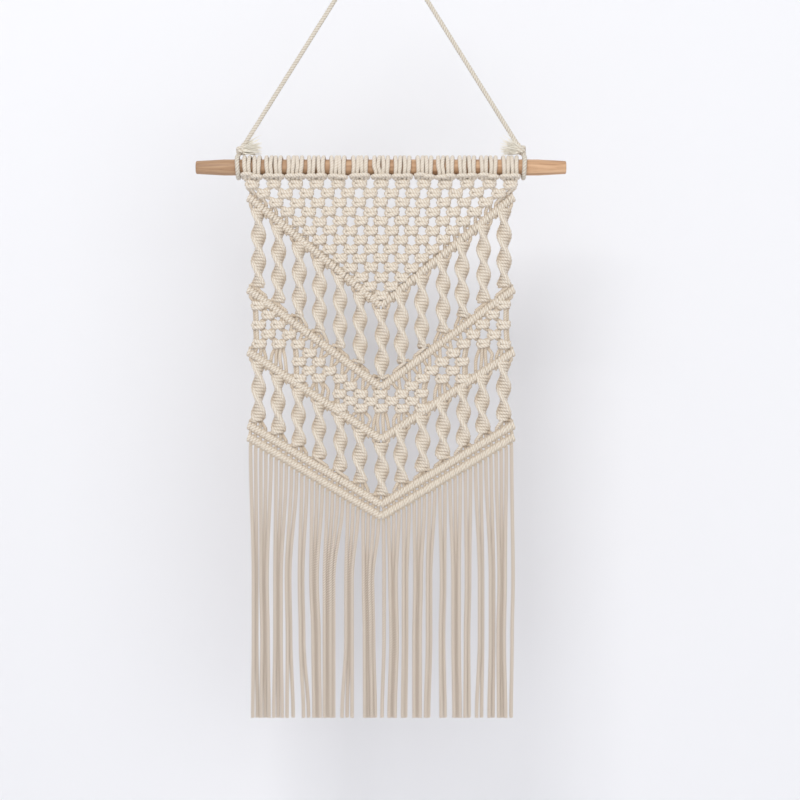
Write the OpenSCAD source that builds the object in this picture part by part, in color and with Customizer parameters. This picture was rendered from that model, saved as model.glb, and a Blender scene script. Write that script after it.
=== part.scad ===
// Knotted cotton wall hanging on a turned wooden dowel, hung from one peg by its own cord.
// The origin is the centre of the peg, inside the top bend of the hanging cord.
// +X runs to the right along the dowel, +Y runs back to the wall and +Z is up.

/* [Dowel] */
// Length of the dowel
dowel_len = 370; // [330:1:460]
// Diameter of the dowel under the knots
dowel_d = 16; // [12:0.5:20]
// Diameter of the dowel's two end faces
dowel_end_d = 13; // [8:0.5:20]
// Length over which each end narrows
dowel_taper = 28; // [10:1:32]
// Width of the eased edge on each end face
dowel_chamfer = 0.8; // [0.2:0.1:2]

/* [Hanging cord] */
// Diameter of the hanging cord
hanger_d = 4.5; // [3:0.5:6]
// Height of the peg above the dowel's axis
hang_drop = 222; // [180:1:320]
// Radius of the cord's centre line over the peg
peg_bend_r = 10; // [9:0.5:16]
// Distance of each tied loop from the middle of the dowel
hanger_half = 143; // [143:0.5:152]
// How far in from its loop each knot is pulled
tie_in = 3; // [0:0.5:3]
// Diameter of the knot above each tied loop
tie_knot_d = 11; // [9:0.5:13]
// Length of the frayed tail beside each tie
tail_len = 18; // [10:1:26]
// Diameter of the open end of a frayed tail
tail_d = 11; // [8:0.5:12]

/* [Cotton cord] */
// Diameter of the cords that make the panel
cord_d = 3.8; // [3:0.1:4]
// Width of the knotted panel
panel_w = 266; // [236:1:272]
// Width of the row of lark's-head knots on the dowel
head_w = 279; // [266:1:280]

/* [Knotted panel, heights down from the dowel's axis] */
// Height of the first row of square knots
net_top = 17; // [16.5:0.5:20]
// Height of one row of the square-knot net
net_row = 9.3; // [9:0.1:10.2]
// Diameter of each diagonal bar of hitches
bar_d = 9.5; // [8:0.5:10]
// Bar 1 at the panel's edge
bar_1_edge = 29; // [27:1:34]
// Bar 1 at the middle
bar_1_mid = 138; // [136:1:144]
// Bar 2 at the panel's edge
bar_2_edge = 121.5; // [115:0.5:126]
// Bar 2 at the middle
bar_2_mid = 220; // [210:1:224]
// Bar 3 at the panel's edge
bar_3_edge = 184; // [180:1:190]
// Bar 3 at the middle
bar_3_mid = 272; // [268:1:276]
// Bar 4 at the panel's edge
bar_4_edge = 257; // [250:1:258]
// Bar 4 at the middle
bar_4_mid = 337; // [330:1:338]
// Bar 5 at the panel's edge
bar_5_edge = 269; // [269:1:280]
// Bar 5 at the middle
bar_5_mid = 349; // [349:1:360]
// Width of a spiral cord column at its widest
spiral_d = 15.5; // [10:0.5:17]
// Width of a spiral cord column at its narrowest
spiral_neck_d = 7.5; // [5:0.5:9]
// Height of one bulge of a spiral column
spiral_period = 26; // [20:1:32]

/* [Fringe] */
// Height of the trimmed fringe ends below the dowel's axis
fringe_end = 550; // [530:1:600]

/* [Hidden] */
$fn = 48;
gap = 0.3;            // between pieces that move against each other
seat = 0.05;          // between knots that lie against each other on the panel
columns = 13;         // groups of four cords across the panel
strands = 4 * columns;
column_pitch = panel_w / columns;
strand_pitch = panel_w / strands;
dowel_r = dowel_d / 2;
loop_r = dowel_r + gap;            // inner radius of every loop round the dowel
knot_h = net_row - 2 * seat;       // height of a square knot
knot_w = 1.5 * cord_d * 2 + knot_h / 2;
float_len = 21;                    // length of the open cords above the middle of bar 3
tie_sink = 0.9;                    // how deep each knot is pulled down into its loop
tie_z = loop_r + hanger_d - tie_sink + tie_knot_d / 2;
tie_half = hanger_half - tie_in;
tail_z = loop_r + hanger_d + tail_d / 2;
tube_sides = 8;
ring_step = 11;                    // distance between the rings of a cord
strand_gap = 0.8;                  // between a fringe cord and the bar above it
layer = 1.25;                      // fringe cords lie this far in front of or behind the panel
gather_at = 412;                   // height where the fringe cords have come together
low_at = 470;                      // height where they begin to part again
bar_edge = [bar_1_edge, bar_2_edge, bar_3_edge, bar_4_edge, bar_5_edge];
bar_mid = [bar_1_mid, bar_2_mid, bar_3_mid, bar_4_mid, bar_5_mid];
// Each bundle of the fringe: cords, middle when gathered, middle lower down, middle at the
// trimmed end, and the spacing of its cords at the end.
bundles = [
    [2, -126, -126, -126, 4.5], [3, -117, -116, -116, 4], [3, -103, -103, -103, 4.2],
    [2, -93, -92, -91, 6], [2, -80, -79, -75, 5], [3, -67, -65, -64, 3],
    [4, -52, -52, -52, 3], [3, -32, -32, -34, 5], [4, -13, -12, -11, 3.5],
    [1, 3, 3, 1, 3], [3, 12, 13, 11, 3], [2, 24, 24, 23, 3],
    [3, 37, 36, 36, 3], [2, 48, 48, 46, 3], [2, 62, 61, 62, 4],
    [3, 75, 75, 76, 3], [2, 87, 86, 86, 4], [2, 100, 100, 98, 5],
    [2, 111, 111, 110, 4], [3, 121, 120, 121, 3.5], [1, 132, 131, 130, 3]];
// Bundles that hang together in each of the thirteen fringe nodes.
groups = [2, 1, 2, 1, 1, 1, 1, 2, 2, 1, 2, 2, 3];

// ---- shared geometry -------------------------------------------------------------------

function unit(v) = v / norm(v);
function ease(t) = t * t * (3 - 2 * t);
function mix(a, b, t) = a + (b - a) * t;
function sum_to(list, n) = n <= 0 ? 0 : list[n - 1] + sum_to(list, n - 1);
// Height of a diagonal bar's axis below the dowel's axis, at a distance x from the middle.
function bar_at(bar, x) = mix(bar_mid[bar - 1], bar_edge[bar - 1], abs(x) / (panel_w / 2));
function bar_slope(bar) = (bar_mid[bar - 1] - bar_edge[bar - 1]) / (panel_w / 2);
// Half the height of a bar as a vertical cut sees it.
function bar_reach(bar) = bar_d / 2 * sqrt(1 + pow(bar_slope(bar), 2));
function below_dowel(v) = -hang_drop - v;

function tangent(p, i) = unit(p[min(i + 1, len(p) - 1)] - p[max(i - 1, 0)]);
function ring(p, i, r) =
    let (t = tangent(p, i), a = unit(cross(t, [0, 1, 0])), b = cross(a, t))
    [for (k = [0 : tube_sides - 1])
        p[i] + r * (cos(360 * k / tube_sides) * a + sin(360 * k / tube_sides) * b)];

// A closed tube of radius r along the points p, which never run along Y.
module cord_tube(p, r) {
    n = tube_sides;
    last = len(p) - 1;
    points = [for (i = [0 : last]) each ring(p, i, r)];
    sides = [for (i = [0 : last - 1]) for (k = [0 : n - 1])
        [i * n + k, i * n + (k + 1) % n, (i + 1) * n + (k + 1) % n, (i + 1) * n + k]];
    start = [for (k = [n - 1 : -1 : 0]) k];
    end = [for (k = [0 : n - 1]) last * n + k];
    polyhedron(points, concat([start], sides, [end]), convexity = 4);
}

// Room between the underside of one bar and the upper side of the next. Bar 0 is the dowel.
module between_bars(head, foot) {
    wide = panel_w;
    function head_at(x) = head == 0 ? 0 : bar_at(head, x) + bar_reach(head) + seat;
    function foot_at(x) = bar_at(foot, x) - bar_reach(foot) - seat;
    rotate([90, 0, 0]) linear_extrude(height = 4 * bar_d, center = true) polygon(concat(
        [for (x = [-wide, 0, wide]) [x, below_dowel(head_at(x))]],
        [for (x = [wide, 0, -wide]) [x, below_dowel(foot_at(x))]]));
}

// A solid of revolution about X, at x along the dowel.
module round_dowel(x) {
    translate([x, 0, below_dowel(0)]) rotate([0, 90, 0]) children();
}

// ---- the dowel -------------------------------------------------------------------------

module dowel() {
    half = dowel_len / 2;
    color("BurlyWood") round_dowel(0) rotate_extrude($fn = 96) polygon([
        [0, -half], [dowel_end_d / 2 - dowel_chamfer, -half],
        [dowel_end_d / 2, -half + dowel_chamfer], [dowel_r, -half + dowel_taper],
        [dowel_r, half - dowel_taper], [dowel_end_d / 2, half - dowel_chamfer],
        [dowel_end_d / 2 - dowel_chamfer, half], [0, half]]);
}

// ---- the hanger ------------------------------------------------------------------------

// Centre line of the hanging cord: up one leg, over the peg and down the other.
function hanger_route() =
    let (foot = [tie_half, 0, below_dowel(-tie_z)], away = norm(foot),
        touch = atan2(foot[2], foot[0]) + acos(peg_bend_r / away),
        peg = [for (i = [0 : 12]) let (a = mix(180 - touch, touch, i / 12))
            peg_bend_r * [cos(a), 0, sin(a)]],
        steps = ceil(away / (2.5 * hanger_d)),
        leg = [for (i = [0 : steps - 1]) mix(foot, peg[12], i / steps)])
    concat([for (p = leg) [-p[0], 0, p[2]]], peg, [for (i = [steps - 1 : -1 : 0]) leg[i]]);

module hanging_cord() {
    color("AntiqueWhite") difference() {
        cord_tube(hanger_route(), hanger_d / 2);
        for (side = [-1, 1]) tie_ball(side, seat);
    }
}

module tie_ball(side, grow = 0) {
    translate([side * tie_half, 0, below_dowel(-tie_z)]) sphere(d = tie_knot_d + 2 * grow);
}

module hanging_knot(side) {
    color("Linen") {
        round_dowel(side * hanger_half) rotate_extrude()
            translate([loop_r + hanger_d / 2, 0]) circle(d = hanger_d);
        tie_ball(side);
    }
}

// The brushed-out end of the hanging cord, which points in over the panel.
module frayed_tail(side) {
    start = tie_half - tie_knot_d / 2 + 1;
    color("OldLace") difference() {
        translate([side * start, 0, below_dowel(-tail_z)]) rotate([0, -side * 90, 0])
            cylinder(h = tail_len, d1 = hanger_d, d2 = tail_d);
        tie_ball(side, seat);
    }
}

// ---- cords tied to the dowel -----------------------------------------------------------

// Each folded cord goes round the dowel twice, with its fold across the front.
module larks_head_knots() {
    color("Linen") for (i = [0 : 2 * columns - 1]) {
        x = (i - columns + 0.5) * head_w / (2 * columns);
        for (side = [-1, 1]) round_dowel(x + side * (cord_d / 2 + seat)) rotate_extrude()
            translate([loop_r + cord_d / 2, 0]) circle(d = cord_d);
    }
}

// ---- square knots ----------------------------------------------------------------------

// One square knot, lying across four cords, with its middle at x and v.
module square_knot(x, v) {
    end = knot_w / 2;
    r = knot_h / 2;
    translate([x, 0, below_dowel(v)]) rotate([0, 90, 0]) rotate_extrude() polygon([
        [0, -end], [0.6 * r, -end], [0.9 * r, -end + 0.8], [r, -end + 2.4],
        [r, end - 2.4], [0.9 * r, end - 0.8], [0.6 * r, end], [0, end]]);
}

// The first rows of the net are as wide as the row of lark's heads above them.
function net_spread(row) = mix(head_w / panel_w, 1, min(1, row / 4));

module square_knot_net() {
    color("Linen") intersection() {
        for (row = [0 : columns - 1]) for (i = [0 : columns - 1 - row])
            square_knot((i - (columns - 1 - row) / 2) * column_pitch * net_spread(row),
                net_top + row * net_row);
        between_bars(0, 1);
    }
}

// Rows of the band of knots between bars 2 and 3, numbered down from the panel's edges. They
// come a little closer together towards the middle.
last_row = 12;
band_top = bar_2_edge + 16;
band_end = bar_3_mid - bar_reach(3) - knot_h / 2 - float_len;
function band_row(row) =
    let (t = row / last_row) mix(band_top, band_end, t * (1.21 - 0.21 * t));
// First and last row with a knot in column c. Every second column is knotted down to bar 3.
function band_first(c) = c == 0 ? last_row - 2 : last_row - 2 * abs(c);
function band_last(c) =
    4 * min(2, floor((6 - abs(c)) / 2)) + (abs(c) % 1 == 0 ? 4 : 3);

module knot_band() {
    color("Linen") intersection() {
        for (c = [-6 : 0.5 : 6]) for (row = [band_first(c) : 2 : band_last(c)])
            square_knot(c * column_pitch, band_row(row));
        between_bars(2, 3);
    }
}

// The open cords that hang side by side from the knot band down to bar 3.
module float_cords() {
    color("AntiqueWhite") for (c = [-5, -3, -1, 0, 1, 3, 5]) for (k = [-1.5 : 1.5]) {
        x = c * column_pitch + k * (cord_d + 0.4);
        foot = bar_at(3, abs(x) + cord_d / 2) - bar_reach(3) - seat;
        translate([x, 0, below_dowel(foot)])
            cylinder(h = foot - band_row(band_last(c)) - knot_h / 2 - seat, d = cord_d, $fn = 24);
    }
}

// ---- diagonal bars ---------------------------------------------------------------------

// One straight arm of a bar, from the panel's edge in to the middle.
module bar_arm(bar, side) {
    half = panel_w / 2;
    drop = bar_mid[bar - 1] - bar_edge[bar - 1];
    r = bar_d / 2;
    far = norm([half, drop]) + bar_d;
    color("AntiqueWhite") intersection() {
        translate([side * half, 0, below_dowel(bar_edge[bar - 1])])
            rotate([0, side * (-90 - atan2(drop, half)), 0]) rotate_extrude() polygon([
                [0, -r], [0.5 * r, -0.85 * r], [0.85 * r, -0.5 * r], [r, 0], [r, far], [0, far]]);
        translate([side < 0 ? -2 * half : 0, -bar_d, below_dowel(fringe_end)])
            cube([2 * half, 2 * bar_d, fringe_end]);
    }
}

// ---- spiral columns --------------------------------------------------------------------

// A column of half knots at x between two bars. It starts wide and narrows as it turns.
module spiral(x, top_bar, foot_bar) {
    head = bar_at(top_bar, x);
    foot = bar_at(foot_bar, x);
    wide = spiral_d / 2;
    thin = spiral_neck_d / 2;
    points = ceil((foot - head) / spiral_period * 6);
    profile = [for (i = [0 : points]) let (v = mix(head, foot, i / points))
        [mix(thin, wide, 0.5 + 0.5 * cos(360 * (v - head - bar_reach(top_bar)) / spiral_period)),
            -(v - head)]];
    color("Linen") intersection() {
        translate([x, 0, below_dowel(head)])
            rotate_extrude() polygon(concat([[0, 0]], profile, [[0, head - foot]]));
        between_bars(top_bar, foot_bar);
    }
}

module upper_spiral(number) {
    spiral((number - (columns + 1) / 2) * column_pitch, 1, 2);
}

module lower_spiral(number) {
    spiral((number - (columns + 1) / 2) * column_pitch, 3, 4);
}

// ---- fringe ----------------------------------------------------------------------------

// Route of one fringe cord: the cord numbered first + place of a bundle.
function strand_route(bundle, place) =
    let (b = bundles[bundle], first = sum_to([for (b = bundles) b[0]], bundle),
        step = place - (b[0] - 1) / 2,
        top_x = (first + place - (strands - 1) / 2) * strand_pitch,
        top_v = bar_at(5, max(abs(top_x) - cord_d / 2, 0)) + bar_reach(5) + strand_gap,
        stops = [[top_v, top_x], [gather_at, b[1] + 3 * step], [low_at, b[2] + 3 * step],
            [fringe_end, b[3] + b[4] * step]],
        front = place % 2 == 0 ? -layer : layer,
        rings = ceil((fringe_end - top_v) / ring_step))
    [for (i = [0 : rings]) let (v = mix(top_v, fringe_end, i / rings),
        leg = v < gather_at ? 0 : v < low_at ? 1 : 2,
        t = ease((v - stops[leg][0]) / (stops[leg + 1][0] - stops[leg][0])))
        [mix(stops[leg][1], stops[leg + 1][1], t),
            b[0] == 1 ? 0 : front * (leg == 0 ? t : 1), below_dowel(v)]];

module fringe(number) {
    color("AntiqueWhite")
        for (bundle = [sum_to(groups, number - 1) : sum_to(groups, number) - 1])
            for (place = [0 : bundles[bundle][0] - 1])
                cord_tube(strand_route(bundle, place), cord_d / 2);
}

// ---- nodes -----------------------------------------------------------------------------

dowel();
hanging_cord();
hanging_knot(-1);  // hanging_knot_left
hanging_knot(1);  // hanging_knot_right
frayed_tail(-1);  // frayed_tail_left
frayed_tail(1);  // frayed_tail_right
larks_head_knots();
square_knot_net();
knot_band();
float_cords();
bar_arm(1, -1);  // bar_1_left
bar_arm(1, 1);  // bar_1_right
bar_arm(2, -1);  // bar_2_left
bar_arm(2, 1);  // bar_2_right
bar_arm(3, -1);  // bar_3_left
bar_arm(3, 1);  // bar_3_right
bar_arm(4, -1);  // bar_4_left
bar_arm(4, 1);  // bar_4_right
bar_arm(5, -1);  // bar_5_left
bar_arm(5, 1);  // bar_5_right
upper_spiral(1);  // upper_spiral_01
upper_spiral(2);  // upper_spiral_02
upper_spiral(3);  // upper_spiral_03
upper_spiral(4);  // upper_spiral_04
upper_spiral(5);  // upper_spiral_05
upper_spiral(6);  // upper_spiral_06
upper_spiral(7);  // upper_spiral_07
upper_spiral(8);  // upper_spiral_08
upper_spiral(9);  // upper_spiral_09
upper_spiral(10);  // upper_spiral_10
upper_spiral(11);  // upper_spiral_11
upper_spiral(12);  // upper_spiral_12
upper_spiral(13);  // upper_spiral_13
lower_spiral(1);  // lower_spiral_01
lower_spiral(2);  // lower_spiral_02
lower_spiral(3);  // lower_spiral_03
lower_spiral(4);  // lower_spiral_04
lower_spiral(5);  // lower_spiral_05
lower_spiral(6);  // lower_spiral_06
lower_spiral(7);  // lower_spiral_07
lower_spiral(8);  // lower_spiral_08
lower_spiral(9);  // lower_spiral_09
lower_spiral(10);  // lower_spiral_10
lower_spiral(11);  // lower_spiral_11
lower_spiral(12);  // lower_spiral_12
lower_spiral(13);  // lower_spiral_13
fringe(1);  // fringe_01
fringe(2);  // fringe_02
fringe(3);  // fringe_03
fringe(4);  // fringe_04
fringe(5);  // fringe_05
fringe(6);  // fringe_06
fringe(7);  // fringe_07
fringe(8);  // fringe_08
fringe(9);  // fringe_09
fringe(10);  // fringe_10
fringe(11);  // fringe_11
fringe(12);  // fringe_12
fringe(13);  // fringe_13
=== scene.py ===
import math

import bpy
import numpy as np
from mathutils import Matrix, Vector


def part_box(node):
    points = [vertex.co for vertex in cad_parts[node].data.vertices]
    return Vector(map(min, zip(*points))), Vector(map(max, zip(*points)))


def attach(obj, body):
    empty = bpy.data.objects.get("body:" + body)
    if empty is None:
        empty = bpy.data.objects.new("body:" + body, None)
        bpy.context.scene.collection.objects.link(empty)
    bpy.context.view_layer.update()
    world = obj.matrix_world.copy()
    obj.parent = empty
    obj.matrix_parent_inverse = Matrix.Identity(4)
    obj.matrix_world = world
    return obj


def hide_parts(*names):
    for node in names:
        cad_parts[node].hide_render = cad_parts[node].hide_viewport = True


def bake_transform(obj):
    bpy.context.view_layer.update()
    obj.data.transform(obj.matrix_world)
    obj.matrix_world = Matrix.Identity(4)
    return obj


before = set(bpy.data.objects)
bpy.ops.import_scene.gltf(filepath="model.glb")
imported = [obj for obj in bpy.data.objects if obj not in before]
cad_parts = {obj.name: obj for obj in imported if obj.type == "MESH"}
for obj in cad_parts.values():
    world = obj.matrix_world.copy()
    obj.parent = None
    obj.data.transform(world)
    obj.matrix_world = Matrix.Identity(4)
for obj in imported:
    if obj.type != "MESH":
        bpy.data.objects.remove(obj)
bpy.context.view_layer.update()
MM = 0.001


# ---- The room ---------------------------------------------------------------------------
# A pale wall behind the hanging and a pale floor well below it, lit by broad lamps from the
# front. The wall lets light and sight through from behind, so that the back of the work can
# be looked at too.
dowel_low, dowel_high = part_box("dowel")
axis_z = (dowel_low[2] + dowel_high[2]) / 2
dowel_r = (dowel_high[2] - dowel_low[2]) / 2
view_distance = 2.4
view_width = 0.8
view_centre = (0.019, axis_z - 0.2325)
sensor_w = 36

camera_data = bpy.data.cameras.new("camera")
camera_data.sensor_width = sensor_w
camera_data.lens = sensor_w * view_distance / view_width
camera = bpy.data.objects.new("camera", camera_data)
camera.location = (view_centre[0], -view_distance, view_centre[1])
camera.rotation_euler = (math.radians(90), 0, 0)
bpy.context.scene.collection.objects.link(camera)
bpy.context.scene.camera = camera


def add_sheet(name, corners, material):
    mesh = bpy.data.meshes.new(name)
    mesh.from_pydata(corners, [], [(0, 1, 2, 3)])
    mesh.materials.append(material)
    sheet = bpy.data.objects.new(name, mesh)
    bpy.context.scene.collection.objects.link(sheet)
    return sheet


wall_paint = bpy.data.materials.new("wall_paint")
wall_paint.use_nodes = True
wall_paint.use_backface_culling = True
nodes, links = wall_paint.node_tree.nodes, wall_paint.node_tree.links
plaster = nodes["Principled BSDF"]
plaster.inputs["Base Color"].default_value = (0.86, 0.86, 0.885, 1)
plaster.inputs["Roughness"].default_value = 0.9
clear = nodes.new("ShaderNodeBsdfTransparent")
from_behind = nodes.new("ShaderNodeNewGeometry")
either = nodes.new("ShaderNodeMixShader")
links.new(from_behind.outputs["Backfacing"], either.inputs[0])
links.new(plaster.outputs[0], either.inputs[1])
links.new(clear.outputs[0], either.inputs[2])
links.new(either.outputs[0], nodes["Material Output"].inputs["Surface"])

wall_y = 0.2
wall_top = 2
floor_z = -1.25
side_x = 3
floor_end = 4
wall = add_sheet("wall", [(-side_x, wall_y, floor_z), (side_x, wall_y, floor_z),
                          (side_x, wall_y, wall_top), (-side_x, wall_y, wall_top)], wall_paint)
floor = add_sheet("floor", [(-side_x, -floor_end, floor_z), (side_x, -floor_end, floor_z),
                            (side_x, floor_end, floor_z), (-side_x, floor_end, floor_z)],
                  wall_paint)


def add_lamp(name, place, aim, size, watts):
    data = bpy.data.lights.new(name, "AREA")
    data.size = size
    data.energy = watts
    lamp = bpy.data.objects.new(name, data)
    lamp.location = place
    direction = np.array(aim) - np.array(place)
    flat = math.hypot(direction[0], direction[1])
    lamp.rotation_euler = (math.atan2(flat, -direction[2]), 0,
                           math.atan2(direction[1], direction[0]) - math.pi / 2)
    bpy.context.scene.collection.objects.link(lamp)


panel_middle = (0, 0, -0.45)
add_lamp("window", (-0.7, -2.2, 1.2), panel_middle, 1.1, 31)
add_lamp("fill", (1.2, -2.5, -0.3), panel_middle, 2.0, 16)
world = bpy.data.worlds.new("room_light")
world.use_nodes = True
world.node_tree.nodes["Background"].inputs["Color"].default_value = (0.98, 0.99, 1, 1)
world.node_tree.nodes["Background"].inputs["Strength"].default_value = 0.6
bpy.context.scene.world = world
bpy.context.scene.view_settings.view_transform = "Standard"


# ---- The dowel --------------------------------------------------------------------------
# A turned beech rod, sanded and left bare. It narrows towards both ends, and its grain runs
# along it with short darker pores. The colour grows paler towards its right end.
dowel_v = -axis_z / MM


def shader_math(tree, kind, a, b=None, clamp=False):
    step = tree.nodes.new("ShaderNodeMath")
    step.operation = kind
    step.use_clamp = clamp
    for i, value in enumerate((a, b)):
        if isinstance(value, (int, float)):
            step.inputs[i].default_value = value
        elif value is not None:
            tree.links.new(value, step.inputs[i])
    return step.outputs[0]


dark_grain = (0.38, 0.19, 0.085, 1)
middle_grain = (0.58, 0.34, 0.18, 1)
pale_grain = (0.7, 0.45, 0.26, 1)
pore_brown = (0.3, 0.15, 0.07, 1)
brightness = 0.93
paler_per_metre = 0.95
beech = bpy.data.materials.new("beech")
beech.use_nodes = True
tree = beech.node_tree
where = tree.nodes.new("ShaderNodeTexCoord")
stretch = tree.nodes.new("ShaderNodeMapping")
stretch.inputs["Scale"].default_value = (14, 260, 260)
tree.links.new(where.outputs["Object"], stretch.inputs["Vector"])
grain = tree.nodes.new("ShaderNodeTexNoise")
grain.inputs["Scale"].default_value = 1
grain.inputs["Detail"].default_value = 6
grain.inputs["Distortion"].default_value = 0.6
tree.links.new(stretch.outputs[0], grain.inputs["Vector"])
pores = tree.nodes.new("ShaderNodeTexNoise")
pores.inputs["Scale"].default_value = 5
pores.inputs["Detail"].default_value = 2
tree.links.new(stretch.outputs[0], pores.inputs["Vector"])
tone = tree.nodes.new("ShaderNodeValToRGB")
tone.color_ramp.elements[0].position = 0.3
tone.color_ramp.elements[0].color = dark_grain
tone.color_ramp.elements[1].position = 0.72
tone.color_ramp.elements[1].color = pale_grain
middle_tone = tone.color_ramp.elements.new(0.5)
middle_tone.color = middle_grain
tree.links.new(grain.outputs["Fac"], tone.inputs["Fac"])
flecks = tree.nodes.new("ShaderNodeValToRGB")
flecks.color_ramp.elements[0].position = 0.62
flecks.color_ramp.elements[1].position = 0.7
tree.links.new(pores.outputs["Fac"], flecks.inputs["Fac"])
wood = tree.nodes.new("ShaderNodeMix")
wood.data_type = "RGBA"
fleck_share = shader_math(tree, "MULTIPLY", flecks.outputs["Color"], 0.35)
tree.links.new(fleck_share, wood.inputs["Factor"])
tree.links.new(tone.outputs["Color"], wood.inputs[6])
wood.inputs[7].default_value = pore_brown
along = tree.nodes.new("ShaderNodeSeparateXYZ")
tree.links.new(where.outputs["Object"], along.inputs[0])
# The colour grows paler from left to right along the dowel.
paler_to_right = tree.nodes.new("ShaderNodeHueSaturation")
paler_to_right.inputs["Saturation"].default_value = 0.94
paler = shader_math(tree, "MULTIPLY", along.outputs["X"], paler_per_metre)
tree.links.new(shader_math(tree, "ADD", paler, brightness), paler_to_right.inputs["Value"])
tree.links.new(wood.outputs[2], paler_to_right.inputs["Color"])
bsdf = tree.nodes["Principled BSDF"]
tree.links.new(paler_to_right.outputs["Color"], bsdf.inputs["Base Color"])
rough = shader_math(tree, "MULTIPLY", grain.outputs["Fac"], 0.2)
tree.links.new(shader_math(tree, "ADD", rough, 0.42), bsdf.inputs["Roughness"])
bump = tree.nodes.new("ShaderNodeBump")
bump.inputs["Strength"].default_value = 0.5
bump.inputs["Distance"].default_value = 0.15 * MM
tree.links.new(grain.outputs["Fac"], bump.inputs["Height"])
tree.links.new(bump.outputs[0], bsdf.inputs["Normal"])
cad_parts["dowel"].data.materials.clear()
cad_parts["dowel"].data.materials.append(beech)


# ---- The cords on the dowel -------------------------------------------------------------
# 26 lengths of cotton cord, each folded in half and put round the dowel with a lark's head:
# both halves go up in front, over and down behind, and the fold lies across their front.
cord_r = 1.9
panel_w = 266
cords_across = 52
cord_pitch = panel_w / cords_across
# Every loop round the dowel stands this far off it, so that the dowel can slide.
loop_fit = 0.3
loop_r = dowel_r / MM + loop_fit
# Millimetres for one turn of a cord that has no plies in its mesh.
no_twist = 1e9


def group_input(tree, name, kind, value=None):
    socket = tree.interface.new_socket(name, in_out="INPUT", socket_type=kind)
    if value is not None:
        socket.default_value = value
    return socket


def make_cord_layer():
    """Lays a plied cord along every line of the mesh: its points carry a radius, in width."""
    tree = bpy.data.node_groups.new("Lay plied cord", "GeometryNodeTree")
    tree.interface.new_socket("Geometry", in_out="OUTPUT", socket_type="NodeSocketGeometry")
    group_input(tree, "Geometry", "NodeSocketGeometry")
    group_input(tree, "Sides", "NodeSocketInt", 12)
    group_input(tree, "Plies", "NodeSocketFloat", 3)
    group_input(tree, "Ply depth", "NodeSocketFloat", 0.1)
    group_input(tree, "Turn length", "NodeSocketFloat", 0.0075)
    group_input(tree, "Cotton", "NodeSocketMaterial")
    node = tree.nodes.new
    link = tree.links.new

    def math_node(kind, a, b=None):
        step = node("ShaderNodeMath")
        step.operation = kind
        for i, value in enumerate((a, b)):
            if isinstance(value, (int, float)):
                step.inputs[i].default_value = value
            elif value is not None:
                link(value, step.inputs[i])
        return step.outputs[0]

    def keep(geometry, name, kind, value):
        store = node("GeometryNodeStoreNamedAttribute")
        store.data_type = kind
        store.domain = "POINT"
        store.inputs["Name"].default_value = name
        link(geometry, store.inputs["Geometry"])
        link(value, store.inputs["Value"])
        return store.outputs[0]

    given = node("NodeGroupInput").outputs
    line = node("GeometryNodeMeshToCurve")
    link(given["Geometry"], line.inputs["Mesh"])
    spline = node("GeometryNodeSplineParameter")
    width = node("GeometryNodeInputNamedAttribute")
    width.data_type = "FLOAT"
    width.inputs["Name"].default_value = "width"
    laid = keep(line.outputs[0], "along", "FLOAT", spline.outputs["Length"])
    twist = node("GeometryNodeSetCurveTilt")
    link(laid, twist.inputs["Curve"])
    turns = math_node("DIVIDE", spline.outputs["Length"], given["Turn length"])
    link(math_node("MULTIPLY", turns, 2 * math.pi), twist.inputs["Tilt"])

    ring = node("GeometryNodeCurvePrimitiveCircle")
    link(given["Sides"], ring.inputs["Resolution"])
    ring.inputs["Radius"].default_value = 1
    place = node("GeometryNodeInputPosition")
    parts = node("ShaderNodeSeparateXYZ")
    link(place.outputs[0], parts.inputs[0])
    angle = math_node("ARCTAN2", parts.outputs[1], parts.outputs[0])
    lobe = math_node("COSINE", math_node("MULTIPLY", angle, given["Plies"]))
    grow = math_node("ADD", math_node("MULTIPLY", lobe, given["Ply depth"]), 1)
    marked = keep(ring.outputs[0], "turn", "FLOAT_VECTOR", place.outputs[0])
    scaled = node("ShaderNodeVectorMath")
    scaled.operation = "SCALE"
    link(place.outputs[0], scaled.inputs[0])
    link(grow, scaled.inputs["Scale"])
    shaped = node("GeometryNodeSetPosition")
    link(marked, shaped.inputs["Geometry"])
    link(scaled.outputs[0], shaped.inputs["Position"])

    swept = node("GeometryNodeCurveToMesh")
    swept.inputs["Fill Caps"].default_value = True
    link(twist.outputs[0], swept.inputs["Curve"])
    link(shaped.outputs[0], swept.inputs["Profile Curve"])
    link(width.outputs[0], swept.inputs["Scale"])
    real = node("GeometryNodeRealizeInstances")
    link(swept.outputs[0], real.inputs[0])
    paint = node("GeometryNodeSetMaterial")
    link(real.outputs[0], paint.inputs["Geometry"])
    link(given["Cotton"], paint.inputs["Material"])
    link(paint.outputs[0], node("NodeGroupOutput").inputs[0])
    return tree


cord_layer = make_cord_layer()


def set_inputs(modifier, **values):
    """Sets a modifier's inputs by socket identifier; a name's spaces are written as _."""
    for item in modifier.node_group.interface.items_tree:
        key = item.name.replace(" ", "_")
        if item.in_out == "INPUT" and key in values:
            modifier[item.identifier] = values[key]


def made_plain(thing):
    """The evaluated result of a piece's modifiers, as one plain mesh."""
    graph = bpy.context.evaluated_depsgraph_get()
    result = bpy.data.meshes.new_from_object(thing.evaluated_get(graph))
    thing.modifiers.clear()
    thing.data = result
    result.name = thing.name
    result.polygons.foreach_set("use_smooth", [True] * len(result.polygons))
    for name in ("position_along", "width", "radius", "tilt"):
        if name in result.attributes:
            result.attributes.remove(result.attributes[name])
    return thing


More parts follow.
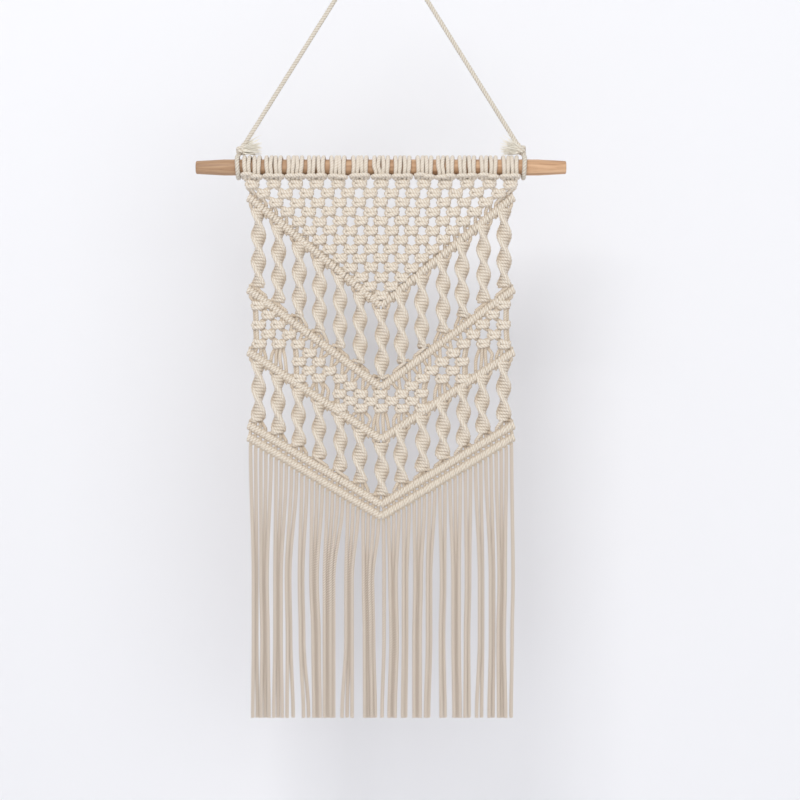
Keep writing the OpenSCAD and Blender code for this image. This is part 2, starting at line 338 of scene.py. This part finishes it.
def smooth_line(points, step):
    """A Catmull-Rom curve through points of x, y, z and radius in mm, cut into even steps."""
    p = np.array(points, float)
    p = np.vstack([2 * p[0] - p[1], p, 2 * p[-1] - p[-2]])
    t = np.linspace(0, 1, 9)[:-1, None]
    spans = [0.5 * (2 * b + (c - a) * t + (2 * a - 5 * b + 4 * c - d) * t**2
                    + (3 * b - a - 3 * c + d) * t**3)
             for a, b, c, d in zip(p, p[1:], p[2:], p[3:])]
    fine = np.vstack(spans + [p[-2:-1]])
    run = np.concatenate([[0], np.cumsum(np.linalg.norm(np.diff(fine[:, :3], axis=0), axis=1))])
    even = np.linspace(0, run[-1], max(3, round(run[-1] / step) + 1))
    return np.column_stack([np.interp(even, run, fine[:, k]) for k in range(4)])


def lay_cords(name, lines, cotton, sides=10, ply_depth=0.0, turn=no_twist):
    """One piece of cords laid along lines of x, y, z and radius, in mm."""
    points = np.vstack(lines) * MM
    edges, first = [], 0
    for line in lines:
        edges += [(first + i, first + i + 1) for i in range(len(line) - 1)]
        first += len(line)
    mesh = bpy.data.meshes.new(name)
    mesh.from_pydata(points[:, :3].tolist(), edges, [])
    mesh.attributes.new("width", "FLOAT", "POINT").data.foreach_set("value", points[:, 3])
    piece = bpy.data.objects.new(name, mesh)
    bpy.context.scene.collection.objects.link(piece)
    layer = piece.modifiers.new("lay", "NODES")
    layer.node_group = cord_layer
    set_inputs(layer, Sides=sides, Ply_depth=ply_depth, Turn_length=turn * MM, Cotton=cotton)
    return made_plain(piece)


def make_cotton_lay():
    """Shader group: the grooves between plies, the yarns in them, the loose fluff and a mask of
    painted shade between cords.
    """
    tree = bpy.data.node_groups.new("Cotton lay", "ShaderNodeTree")
    for name, value in (("Plies", 3), ("Twist per metre", 0), ("Yarns", 11), ("Shade depth", 4)):
        group_input(tree, name, "NodeSocketFloat", value)
    for name in ("Groove", "Fluff", "Patch", "Hidden", "Height"):
        tree.interface.new_socket(name, in_out="OUTPUT", socket_type="NodeSocketFloat")
    node, link = tree.nodes.new, tree.links.new
    given = node("NodeGroupInput").outputs
    put = node("NodeGroupOutput").inputs
    turn = node("ShaderNodeAttribute")
    turn.attribute_name = "turn"
    along = node("ShaderNodeAttribute")
    along.attribute_name = "along"
    parts = node("ShaderNodeSeparateXYZ")
    link(turn.outputs["Vector"], parts.inputs[0])
    angle = shader_math(tree, "ARCTAN2", parts.outputs[1], parts.outputs[0])
    twist = shader_math(tree, "MULTIPLY", along.outputs["Fac"], given["Twist per metre"])
    twist = shader_math(tree, "MULTIPLY", twist, 2 * math.pi)
    laid = shader_math(tree, "SUBTRACT", angle, twist)
    wave = shader_math(tree, "COSINE", shader_math(tree, "MULTIPLY", laid, given["Plies"]))
    groove = shader_math(tree, "SUBTRACT", 0.5, shader_math(tree, "MULTIPLY", wave, 0.5))
    groove = shader_math(tree, "POWER", groove, 2)
    yarns = shader_math(tree, "MULTIPLY", angle, given["Yarns"])
    rise = shader_math(tree, "MULTIPLY", along.outputs["Fac"], 2600)
    yarn = shader_math(tree, "SINE", shader_math(tree, "ADD", yarns, rise))
    spot = node("ShaderNodeTexCoord")

    def speckle(scale, detail):
        noise = node("ShaderNodeTexNoise")
        noise.inputs["Scale"].default_value = scale
        noise.inputs["Detail"].default_value = detail
        link(spot.outputs["Object"], noise.inputs["Vector"])
        return noise.outputs["Fac"]

    fluff = speckle(1400, 3)
    # Painted shade between cords: a point is darkened the more, the nearer it lies to the middle
    # plane of the work, where cords lie behind and between others.
    side = node("ShaderNodeSeparateXYZ")
    link(spot.outputs["Object"], side.inputs[0])
    depth = shader_math(tree, "ABSOLUTE", side.outputs[1])
    shade_depth = shader_math(tree, "MULTIPLY", given["Shade depth"], MM)
    depth = shader_math(tree, "DIVIDE", depth, shade_depth)
    between_shade = shader_math(tree, "SUBTRACT", 1, depth, clamp=True)
    height = shader_math(tree, "ADD", shader_math(tree, "MULTIPLY", yarn, 0.16),
                         shader_math(tree, "MULTIPLY", fluff, 0.9))
    height = shader_math(tree, "SUBTRACT", height, shader_math(tree, "MULTIPLY", groove, 0.9))
    link(groove, put["Groove"])
    link(fluff, put["Fluff"])
    link(speckle(45, 2), put["Patch"])
    link(between_shade, put["Hidden"])
    link(height, put["Height"])
    return tree


cotton_lay = make_cotton_lay()


def cotton(name, light, groove_shade_colour, twist_per_metre=0, between_shade_colour=None, between_shade_share=0):
    """A cotton cord finish: light where it stands out, with warmer painted shade in the grooves and
    between cords.

    The twist is 0 where the cord's mesh has the plies, because the grooves then follow them.
    """
    material = bpy.data.materials.new(name)
    material.use_nodes = True
    tree = material.node_tree
    lay = tree.nodes.new("ShaderNodeGroup")
    lay.node_tree = cotton_lay
    lay.inputs["Plies"].default_value = 3
    lay.inputs["Twist per metre"].default_value = twist_per_metre
    lay.inputs["Yarns"].default_value = 11
    lay.inputs["Shade depth"].default_value = 4.3

    def shade(share, a, b):
        mix = tree.nodes.new("ShaderNodeMix")
        mix.data_type = "RGBA"
        tree.links.new(share, mix.inputs["Factor"])
        for socket, value in ((mix.inputs[6], a), (mix.inputs[7], b)):
            if isinstance(value, tuple):
                socket.default_value = (*value, 1)
            else:
                tree.links.new(value, socket)
        return mix.outputs[2]

    patch = shader_math(tree, "MULTIPLY", lay.outputs["Patch"], 0.35)
    base = shade(patch, light, tuple(0.86 * c for c in light))
    fluff = shader_math(tree, "MULTIPLY", lay.outputs["Fluff"], 0.3)
    base = shade(fluff, base, tuple(min(1, 1.12 * c) for c in light))
    # Painted shade in the grooves between plies.
    groove_shade_share = shader_math(tree, "MULTIPLY", lay.outputs["Groove"], 0.75)
    base = shade(groove_shade_share, base, groove_shade_colour)
    # Painted shade between the cords, warmer and darker near the middle plane of the work.
    if between_shade_share:
        between_shade = shader_math(tree, "MULTIPLY", lay.outputs["Hidden"], between_shade_share)
        base = shade(between_shade, base, between_shade_colour)
    bsdf = tree.nodes["Principled BSDF"]
    tree.links.new(base, bsdf.inputs["Base Color"])
    bsdf.inputs["Specular IOR Level"].default_value = 0.15
    bsdf.inputs["Sheen Weight"].default_value = 0.25
    bsdf.inputs["Sheen Roughness"].default_value = 0.6
    rough = shader_math(tree, "ADD", shader_math(tree, "MULTIPLY", lay.outputs["Fluff"], 0.2), 0.75)
    tree.links.new(rough, bsdf.inputs["Roughness"])
    bump = tree.nodes.new("ShaderNodeBump")
    bump.inputs["Strength"].default_value = 0.8
    bump.inputs["Distance"].default_value = 0.35 * MM
    tree.links.new(lay.outputs["Height"], bump.inputs["Height"])
    tree.links.new(bump.outputs[0], bsdf.inputs["Normal"])
    return material


ply_turn = 7.5
# Painted shade in the grooves, and painted shade between the cords with its colour and share.
knotted_cotton = cotton("knotted_cotton", (0.82, 0.75, 0.65), (0.6, 0.48, 0.36), 1000 / ply_turn,
                        (0.5, 0.37, 0.24), 0.62)
cord_step = 1.4
luck = np.random.default_rng(26)
# Every working cord's points so far, from the dowel down, in mm: x, y, z and radius. The first
# few are in its lark's head, so they are laid already.
head_points = 3
working = [[] for _ in range(cords_across)]
laid_to = [head_points] * cords_across


def pass_points(slot, points):
    working[slot] += [tuple(p) for p in points]


def new_lengths(slots):
    """The lengths that these cords have gone since they were last laid into a piece."""
    lengths = []
    for slot in slots:
        start = max(laid_to[slot] - 1, 0)
        lengths.append(smooth_line(working[slot][start:], cord_step))
        laid_to[slot] = len(working[slot])
    return lengths


def knotted_piece(name, lines, nodes):
    piece = lay_cords(name, lines, knotted_cotton)
    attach(piece, "panel")
    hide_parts(*nodes)


wrap_r = loop_r + cord_r
loop_cord_r = 2.05
heads_w = 279
folded_cords = cords_across // 2
head_pitch = heads_w / folded_cords
half_gap = 1.98
folds = []
for fold in range(folded_cords):
    in_pair = 1.0 if fold % 2 == 0 else -1.0
    x0 = (fold - (folded_cords - 1) / 2) * head_pitch + in_pair + luck.normal(0, 0.3)
    sag = luck.normal(0, 0.5)
    lean = luck.normal(0, 0.25)
    bight = []
    for half in (-1, 1):
        up = [(half * 2.0, -6.0, 12.5), (half * 2.0, -8.6, 9), (half * half_gap, -9.4, 5)]
        points = [(x0 + px + lean, py, -dowel_v - v, cord_r) for px, py, v in up]
        for degrees in range(0, 271, 30):
            a = math.radians(degrees)
            out = half * (half_gap + 1.9 * degrees / 270)
            points.append((x0 + out - lean * math.cos(a), -wrap_r * math.cos(a),
                           -dowel_v + wrap_r * math.sin(a), loop_cord_r))
        points += [(x0 + half * 4.4, -6.0, -dowel_v - 9.8 - sag, cord_r),
                   (x0 + half * 4.6, -9.8, -dowel_v - 9.3 - sag, cord_r)]
        bight.append(points)
        pass_points(2 * fold + (half > 0), points[head_points - 1::-1])
    front = [(x0 - 2.4, -12.4, -dowel_v - 8.9 - sag, cord_r),
             (x0, -12.9, -dowel_v - 8.8 - sag, cord_r),
             (x0 + 2.4, -12.4, -dowel_v - 8.9 - sag, cord_r)]
    folds.append(smooth_line(bight[0] + front + bight[1][::-1], cord_step))
knotted_piece("larks_heads", folds, ["larks_head_knots"])


# ---- The square-knot net ----------------------------------------------------------------
# Rows of square knots, each row half a knot aside from the last and one knot shorter. Two
# cords of every four are tied round the other two, first over to the right and then back.
net_top_v = 17
net_row = 9.3
knot_rows = 13
columns_across = cords_across // 4
column_pitch = panel_w / columns_across
left_tie = [(-4.0, 0.6, 4.1, 1.7), (-4.8, -1.2, 3.3, 1.9), (-3.3, -2.7, 2.5, 2.2),
            (0, -3.5, 1.9, 2.4), (3.3, -2.9, 1.5, 2.25), (5.3, -0.8, 0.9, 2.0),
            (5.7, 0.6, 0, 1.9), (5.3, -1.0, -0.9, 1.95), (3.3, -3.1, -1.6, 2.15),
            (0, -3.8, -2.0, 2.25), (-3.3, -3.0, -2.3, 2.1), (-4.8, -0.8, -3.0, 1.9),
            (-4.0, 0.6, -4.1, 1.7)]
right_tie = [(4.0, 0.6, 4.1, 1.7), (4.9, -1.2, 3.2, 1.95), (5.6, -2.5, 2.0, 2.1),
             (4.8, -1.6, 1.0, 1.9), (3.2, 1.5, 0.9, 1.8), (0, 3.4, 1.6, 2.1),
             (-3.3, 2.7, 1.2, 1.9), (-5.1, -0.4, 0.9, 1.95), (-5.8, -2.2, 0.1, 2.1),
             (-5.1, -1.7, -0.9, 1.9), (-3.2, 1.4, -1.3, 1.8), (0, 3.4, -1.9, 2.0),
             (3.4, 2.7, -2.4, 1.9), (4.8, 0.4, -3.2, 1.9), (4.0, 0.6, -4.1, 1.7)]


def first_slot(column):
    """The leftmost of a column's four cords. Columns count from the middle one, which is 0."""
    return round(4 * (column + (columns_across - 1) / 2))


def tie_square_knot(column, v, y=0.0, spread=1.0):
    """Ties four neighbouring cords, under a column or between two, at v below the dowel."""
    first = first_slot(column)
    x0 = column * column_pitch * spread + luck.normal(0, 0.45)
    z0 = -dowel_v - v + luck.normal(0, 0.35)
    tilt = luck.normal(0, 0.05)
    swell = luck.normal(1, 0.03)
    fillers = [[(x, -0.9, z, r) for z, r in ((3.4, 1.75), (1.2, 1.35), (-1.2, 1.35), (-3.4, 1.75))]
               for x in (-1.7, 1.7)]
    for k, points in enumerate((left_tie, fillers[0], fillers[1], right_tie)):
        pass_points(first + k, [(x0 + (px - tilt * pz) * swell, y + py, z0 + pz + tilt * px, r)
                                for px, py, pz, r in points])


for row in range(knot_rows):
    knots = columns_across - row
    spread = 1 + (heads_w / panel_w - 1) * max(0, 1 - row / 4)
    for i in range(knots):
        tie_square_knot(i - (knots - 1) / 2, net_top_v + row * net_row, -4 / (1 + row), spread)


# ---- The diagonal bars ------------------------------------------------------------------
# A cord from the panel's edge is held on the slant, and every other cord is wrapped twice
# round it. Seen from the front each pair of wraps lies square across the bar.
bar_r = 4.75
last_bar = 5
# How far below the dowel's axis each bar's own axis is, at the panel's edge and at the middle.
bar_heights = {1: (29, 138), 2: (121.5, 220), 3: (184, 272), 4: (257, 337), 5: (269, 349)}
hitch_r = 3.0
hitch_pitch = 1.57
hitch_cord_r = 1.72
# The wraps on either side of the middle sit back from it a little.
tip_reach = 3
tip_shift = 0.3
core_r = 1.75
straight_r = 1.7


def bar_at(bar, x):
    edge, middle = bar_heights[bar]
    return middle + (edge - middle) * abs(x) / (panel_w / 2)


def bar_reach(bar):
    edge, middle = bar_heights[bar]
    return bar_r * math.sqrt(1 + ((middle - edge) / (panel_w / 2)) ** 2)


def cord_x(slot):
    return (slot - (cords_across - 1) / 2) * cord_pitch


def under_last_bar(x):
    """How far below the dowel's axis a cord leaves the last bar."""
    return bar_at(last_bar, max(abs(x) - cord_r, 0)) + bar_reach(last_bar)


def bar_frame(bar, side, x):
    """The point on a bar's axis at x, its direction in to the middle and its upward side."""
    edge, middle = bar_heights[bar]
    run = np.array([-side * panel_w / 2, 0, -(middle - edge)])
    inward = run / np.linalg.norm(run)
    upward = np.array([side * inward[2], 0, -side * inward[0]])
    return np.array([x, 0, -dowel_v - bar_at(bar, x)]), inward, upward


def hitch_over(bar, slot):
    """Wraps one cord twice round the bar, front first, and brings it out below."""
    x = cord_x(slot)
    side = -1 if x < 0 else 1
    centre, inward, upward = bar_frame(bar, side, x)
    shift = luck.normal(0, 0.15) - (tip_shift if abs(x) < tip_reach else 0)
    grow = luck.normal(1, 0.025)
    points = []
    for degrees in range(0, 541, 45):
        a = math.radians(degrees)
        go = shift - hitch_pitch + (degrees - 90) * 2 * hitch_pitch / 360
        place = centre + inward * go + grow * hitch_r * (math.cos(a) * upward
                                                         - math.sin(a) * np.array([0, 1, 0]))
        points.append((*place, hitch_cord_r))
    pass_points(slot, points)


def bar_core(bar, side):
    """The held cord, from the panel's edge in to the middle."""
    edge = bar_frame(bar, side, side * panel_w / 2)[0]
    middle = bar_frame(bar, side, 0)[0]
    points = [edge + (middle - edge) * t for t in np.linspace(0.015, 0.99, 9)]
    return smooth_line([(*p, core_r) for p in points], cord_step)


def wrap_bar(bar):
    for slot in range(cords_across):
        hitch_over(bar, slot)
        if bar == last_bar:
            x = cord_x(slot)
            under = under_last_bar(x) + 0.75
            pass_points(slot, [(x, 0, -dowel_v - under, 1.85)])


def lay_bar(bar):
    wrap_bar(bar)
    half = cords_across // 2
    for side, word, slots in ((-1, "left", range(half)), (1, "right", range(half, 2 * half))):
        lines = new_lengths(slots) + [bar_core(bar, side)]
        knotted_piece(f"hitched_bar_{bar}_{word}", lines, [f"bar_{bar}_{word}"])


for slot in range(cords_across):
    x = cord_x(slot)
    above = -dowel_v - bar_at(1, x) + bar_reach(1) + 0.8
    pass_points(slot, [(x * 0.995, 0.2, above, straight_r)])
knotted_piece("square_knots", new_lengths(range(cords_across)), ["square_knot_net"])
lay_bar(1)


# ---- The spiral columns -----------------------------------------------------------------
# Four cords make one column. The same half knot is tied over and over round the two inner
# cords, so that each comes out turned a little from the last and the column winds round.
half_knot = 3.25
turn_per_knot = math.radians(22.5)
side_reach = 6.1
front_reach = 2.4
spiral_cord_r = 1.72
filler_x = 1.5
filler_r = 1.0
fall_wave = 0.19


def above_bar(bar, x):
    """The z at which a cord comes straight into the top of a bar."""
    return -dowel_v - bar_at(bar, x) + bar_reach(bar) + 0.6


def wind_spiral(column, head_bar, foot_bar):
    """Winds the four cords of one column from under one bar to the top of the next."""
    first = first_slot(column)
    x0 = column * column_pitch
    head = bar_at(head_bar, x0) + bar_reach(head_bar) - 2.5
    foot = bar_at(foot_bar, x0) - bar_reach(foot_bar) - 4.0
    knots = round((foot - head) / half_knot)
    lean = luck.normal(0, 0.7, 2)
    start = luck.normal(0, 0.12)
    size = luck.normal(1, 0.03)
    for k in range(4):
        points = []
        for u in np.arange(0, knots + 0.01, 1 / 8):
            share = u / knots
            turned = turn_per_knot * u + start
            fall = u + fall_wave * math.sin(2 * math.pi * u)
            if k in (0, 3):
                a = math.pi * u + (math.pi if k == 3 else 0)
                px, py, r = -side_reach * math.cos(a), -front_reach * math.sin(a), spiral_cord_r
            else:
                px, py, r = (filler_x if k == 2 else -filler_x), 0, filler_r
            px *= size * min(1, 0.65 + 0.35 * (knots - u))
            bend = math.sin(math.pi * share)
            points.append((x0 + px * math.cos(turned) - py * math.sin(turned) + lean[0] * bend,
                           px * math.sin(turned) + py * math.cos(turned) + 0.4 * lean[1] * bend,
                           -dowel_v - head - fall * (foot - head) / knots, r))
        pass_points(first + k, points)
    for slot in range(first, first + 4):
        x = cord_x(slot)
        pass_points(slot, [(x, 0, above_bar(foot_bar, x), straight_r)])


def leave_bar(bar, drop):
    """Brings every cord straight out of a bar, to drop below it, before it goes on."""
    for slot in range(cords_across):
        x = cord_x(slot)
        pass_points(slot, [(x, 0, -dowel_v - bar_at(bar, x) - bar_reach(bar) - drop, straight_r)])


def lay_spirals(word, head_bar, foot_bar):
    leave_bar(head_bar, 0.5)
    for number in range(1, columns_across + 1):
        column = number - (columns_across + 1) // 2
        wind_spiral(column, head_bar, foot_bar)
        first = first_slot(column)
        knotted_piece(f"{word}_twist_{number:02d}", new_lengths(range(first, first + 4)),
                      [f"{word}_spiral_{number:02d}"])


lay_spirals("upper", 1, 2)
lay_bar(2)


# ---- The knot band ----------------------------------------------------------------------
# Square knots again, in level rows between two bars. Every second column is knotted all the
# way down, and in the columns between the cords are left open side by side.
last_row = 12
band_top_v = bar_heights[2][0] + 16
band_end_v = 240.7


def band_row(row):
    share = row / last_row
    return band_top_v + (band_end_v - band_top_v) * share * (1.21 - 0.21 * share)


def band_rows(column):
    """The rows in which a column has its first and its last knot."""
    in_from_edge = 6 - abs(column)
    whole = in_from_edge % 1 == 0
    return (round(2 * in_from_edge) if column else last_row - 2,
            4 * min(2, int(in_from_edge // 2)) + (4 if whole else 3))


leave_bar(2, 0.5)
for row in range(last_row + 1):
    columns = np.arange(-6, 6.5) if row % 2 == 0 else np.arange(-5.5, 6)
    for column in columns:
        head_row, foot_row = band_rows(column)
        if head_row <= row <= foot_row:
            tie_square_knot(column, band_row(row))
open_columns = [-5, -3, -1, 0, 1, 3, 5]
open_slots = [first_slot(column) + k for column in open_columns for k in range(4)]
closed_slots = [s for s in range(cords_across) if s not in open_slots]
band = new_lengths(open_slots)
for slot in range(cords_across):
    x = cord_x(slot)
    top_z = working[slot][-1][2]
    foot_z = above_bar(3, x)
    if top_z - foot_z > 9:
        bow = luck.normal(0, 0.9)
        pass_points(slot, [(x + bow, luck.normal(0, 0.5), (top_z + foot_z) / 2, 1.75)])
    pass_points(slot, [(x, 0, foot_z, straight_r)])
band += new_lengths(closed_slots)
knotted_piece("knot_band_cords", band, ["knot_band"])
knotted_piece("open_cords", new_lengths(open_slots), ["float_cords"])


# ---- The lower columns and bars ---------------------------------------------------------
# The bar under the knot band, the lower spiral columns, and the last two bars. Those two lie
# side by side, so the cords go from one into the other with nothing tied between.
lay_bar(3)
lay_spirals("lower", 3, 4)
lay_bar(4)
leave_bar(4, -1.0)
lay_bar(5)


# ---- The fringe -------------------------------------------------------------------------
# The 52 ends of the working cords, left hanging below the last bar and trimmed straight.
# They kept some of the bends of the hank, so they lean together in loose bundles.
fringe_end_v = 550
# The second colour is the painted shade in the grooves between plies.
fringe_cotton = cotton("fringe_cotton", (0.78, 0.69, 0.6), (0.4, 0.3, 0.22))
gather_v = 412
low_v = 470
cord_layer_y = 1.25
gathered_step = 3
point_step = 11
# Cords in the bundle; its middle when gathered, lower down and at the end; end spacing.
bundles = [
    (2, -126, -126, -126, 4.5), (3, -117, -116, -116, 4), (3, -103, -103, -103, 4.2),
    (2, -93, -92, -91, 6), (2, -80, -79, -75, 5), (3, -67, -65, -64, 3),
    (4, -52, -52, -52, 3), (3, -32, -32, -34, 5), (4, -13, -12, -11, 3.5),
    (1, 3, 3, 1, 3), (3, 12, 13, 11, 3), (2, 24, 24, 23, 3),
    (3, 37, 36, 36, 3), (2, 48, 48, 46, 3), (2, 62, 61, 62, 4),
    (3, 75, 75, 76, 3), (2, 87, 86, 86, 4), (2, 100, 100, 98, 5),
    (2, 111, 111, 110, 4), (3, 121, 120, 121, 3.5), (1, 132, 131, 130, 3)]
bundles_in_node = [2, 1, 2, 1, 1, 1, 1, 2, 2, 1, 2, 2, 3]


def fringe_route(slot, bundle, place):
    """From under the last bar, in towards the bundle, and straight on to the trimmed end."""
    count, gather_x, low_x, end_x, end_step = bundle
    off = place - (count - 1) / 2
    top_x = cord_x(slot)
    top_v = under_last_bar(top_x) + 0.8
    stops = [(top_v, top_x), (gather_v, gather_x + gathered_step * off),
             (low_v, low_x + gathered_step * off), (fringe_end_v, end_x + end_step * off)]
    front = 0 if count == 1 else -cord_layer_y if place % 2 == 0 else cord_layer_y
    rings = math.ceil((fringe_end_v - top_v) / point_step)
    route = []
    for i in range(rings + 1):
        v = top_v + (fringe_end_v - top_v) * i / rings
        leg = 0 if v < gather_v else 1 if v < low_v else 2
        t = (v - stops[leg][0]) / (stops[leg + 1][0] - stops[leg][0])
        t = t * t * (3 - 2 * t)
        x = stops[leg][1] + (stops[leg + 1][1] - stops[leg][1]) * t
        route.append((x, front * (t if leg == 0 else 1), -dowel_v - v))
    return route


fringe_cords = []
slot = 0
bundle_number = 0
for number, held in enumerate(bundles_in_node, 1):
    node = f"fringe_{number:02d}"
    for bundle in bundles[bundle_number:bundle_number + held]:
        for place in range(bundle[0]):
            route = fringe_route(slot, bundle, place)
            fringe_cords.append((node, slot, route))
            slot += 1
    bundle_number += held
shown = set()
for node, slot, route in fringe_cords:
    line = smooth_line([(*p, cord_r) for p in route], 0.9)
    piece = lay_cords(f"fringe_strand_{slot + 1:02d}", [line], fringe_cotton, 12, 0.13, ply_turn)
    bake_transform(piece)
    if node not in shown:
        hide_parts(node)
        shown.add(node)


# ---- The hanging cord -------------------------------------------------------------------
# One length of twisted cotton cord, tied round the dowel at both ends and pulled taut over
# the peg by the weight of the work. Three soft plies are laid up with a slow right twist.
hanger_r = 2.25
hanger_half = 143
tie_in = 3
tie_half = hanger_half - tie_in
peg_bend_r = 10
tie_sink = 0.9
tie_knot_r = 5.5
tie_height = loop_r + 2 * hanger_r - tie_sink + tie_knot_r
peg_steps = 12
leg_steps = 24
# The second colour is the painted shade in the grooves between plies.
hanging_cotton = cotton("hanging_cotton", (0.82, 0.76, 0.66), (0.56, 0.47, 0.36))


def hanger_route():
    """Up one leg from its tie, round over the peg and down the other leg."""
    foot = (tie_half, -dowel_v + tie_height)
    away = math.hypot(*foot)
    touch = math.atan2(foot[1], foot[0]) + math.acos(peg_bend_r / away)
    peg = [(peg_bend_r * math.cos(a), 0, peg_bend_r * math.sin(a))
           for a in (math.pi - touch + (2 * touch - math.pi) * i / peg_steps
                     for i in range(peg_steps + 1))]
    leg = [(foot[0] + (peg[-1][0] - foot[0]) * i / leg_steps, 0,
            foot[1] + (peg[-1][2] - foot[1]) * i / leg_steps) for i in range(leg_steps)]
    return [(-x, y, z) for x, y, z in leg] + peg + leg[::-1]


hanger_path = hanger_route()
hanger_line = smooth_line([(*p, hanger_r) for p in hanger_path], 0.8)
hanging_cord = lay_cords("hanging_cord_laid", [hanger_line], hanging_cotton, 12, 0.09, 9)
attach(hanging_cord, "hanger")
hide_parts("hanging_cord")


# ---- The ties of the hanging cord -------------------------------------------------------
# Each end of the hanging cord goes round the dowel and is knotted to itself just above it.
# The knot is an overhand knot pulled down hard, and its end is brushed out.
tie_loop_r = loop_r + hanger_r
wrap_turn_r = 2.9
wrap_rise = 6.4
for side, word in ((-1, "left"), (1, "right")):
    ring_x = side * hanger_half
    loop = [(ring_x + side * 0.6 * math.sin(a), -tie_loop_r * math.cos(a),
             -dowel_v + tie_loop_r * math.sin(a), hanger_r)
            for a in (math.radians(d) for d in range(100, 441, 20))]
    knot_x, knot_z = side * tie_half, -dowel_v + tie_height
    wraps = [(knot_x + wrap_turn_r * math.cos(a), wrap_turn_r * math.sin(a),
              knot_z - wrap_rise / 2 + wrap_rise * a / 14.2, hanger_r * 0.95)
             for a in (0.45 * i for i in range(32))]
    core = [(ring_x, 0, knot_z - 6, hanger_r), (knot_x, 0, knot_z, hanger_r),
            (knot_x - side * 3, 0, knot_z + 6, hanger_r)]
    lines = [smooth_line(points, 1.0) for points in (loop, wraps, core)]
    tie = lay_cords(f"hanging_tie_{word}", lines, hanging_cotton, 12, 0.08, 9)
    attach(tie, "hanger")
    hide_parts(f"hanging_knot_{word}")


# ---- The frayed tails -------------------------------------------------------------------
# Past each knot the plies are untwisted and brushed into a tuft of loose cotton fibres that
# points in over the panel.
frayed_cotton = bpy.data.materials.new("frayed_cotton")
frayed_cotton.use_nodes = True
tree = frayed_cotton.node_tree
tone = tree.nodes.new("ShaderNodeTexNoise")
tone.inputs["Scale"].default_value = 900
tone.inputs["Detail"].default_value = 3
streak = tree.nodes.new("ShaderNodeValToRGB")
streak.color_ramp.elements[0].color = (0.8, 0.74, 0.62, 1)
streak.color_ramp.elements[1].color = (0.96, 0.93, 0.86, 1)
tree.links.new(tone.outputs["Fac"], streak.inputs["Fac"])
bsdf = tree.nodes["Principled BSDF"]
tree.links.new(streak.outputs["Color"], bsdf.inputs["Base Color"])
rough = shader_math(tree, "MULTIPLY", tone.outputs["Fac"], 0.2)
tree.links.new(shader_math(tree, "ADD", rough, 0.75), bsdf.inputs["Roughness"])
bsdf.inputs["Specular IOR Level"].default_value = 0.1
fibre_r = 0.36
fibres_in_tail = 120
shortest_fibre = 9
longest_fibre = 20
# The fibres stay this far above the dowel's axis, clear of the cords on it.
tail_clearance = 12.9


def tail_fibres(side, seed):
    """Fibres that leave the knot together and open into a brush, a little upwards."""
    luck = np.random.default_rng(seed)
    root = (side * (tie_half - 1), 0, -dowel_v + tie_height)
    lowest = -dowel_v + tail_clearance
    fibres = []
    for _ in range(fibres_in_tail):
        spread = luck.normal(0, 1, 2)
        length = luck.uniform(shortest_fibre, longest_fibre)
        curl = luck.normal(0, 1.5, 3)
        points = []
        for t in np.linspace(0, 1, 7):
            open_up = 1.5 + 4.6 * t ** 0.8
            z = root[2] + spread[1] * open_up * 0.85 + curl[1] * t * t + 2.2 * t
            points.append((root[0] - side * length * t + curl[2] * 0.5 * t,
                           root[1] + spread[0] * open_up * 0.6 + curl[0] * t * t,
                           z if z > lowest else 2 * lowest - z, fibre_r * (1.3 - 0.8 * t)))
        fibres.append(smooth_line(points, 1.6))
    return fibres


for side, word, seed in ((-1, "left", 3), (1, "right", 8)):
    tail = lay_cords(f"frayed_brush_{word}", tail_fibres(side, seed), frayed_cotton, 6)
    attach(tail, "hanger")
    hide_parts(f"frayed_tail_{word}")
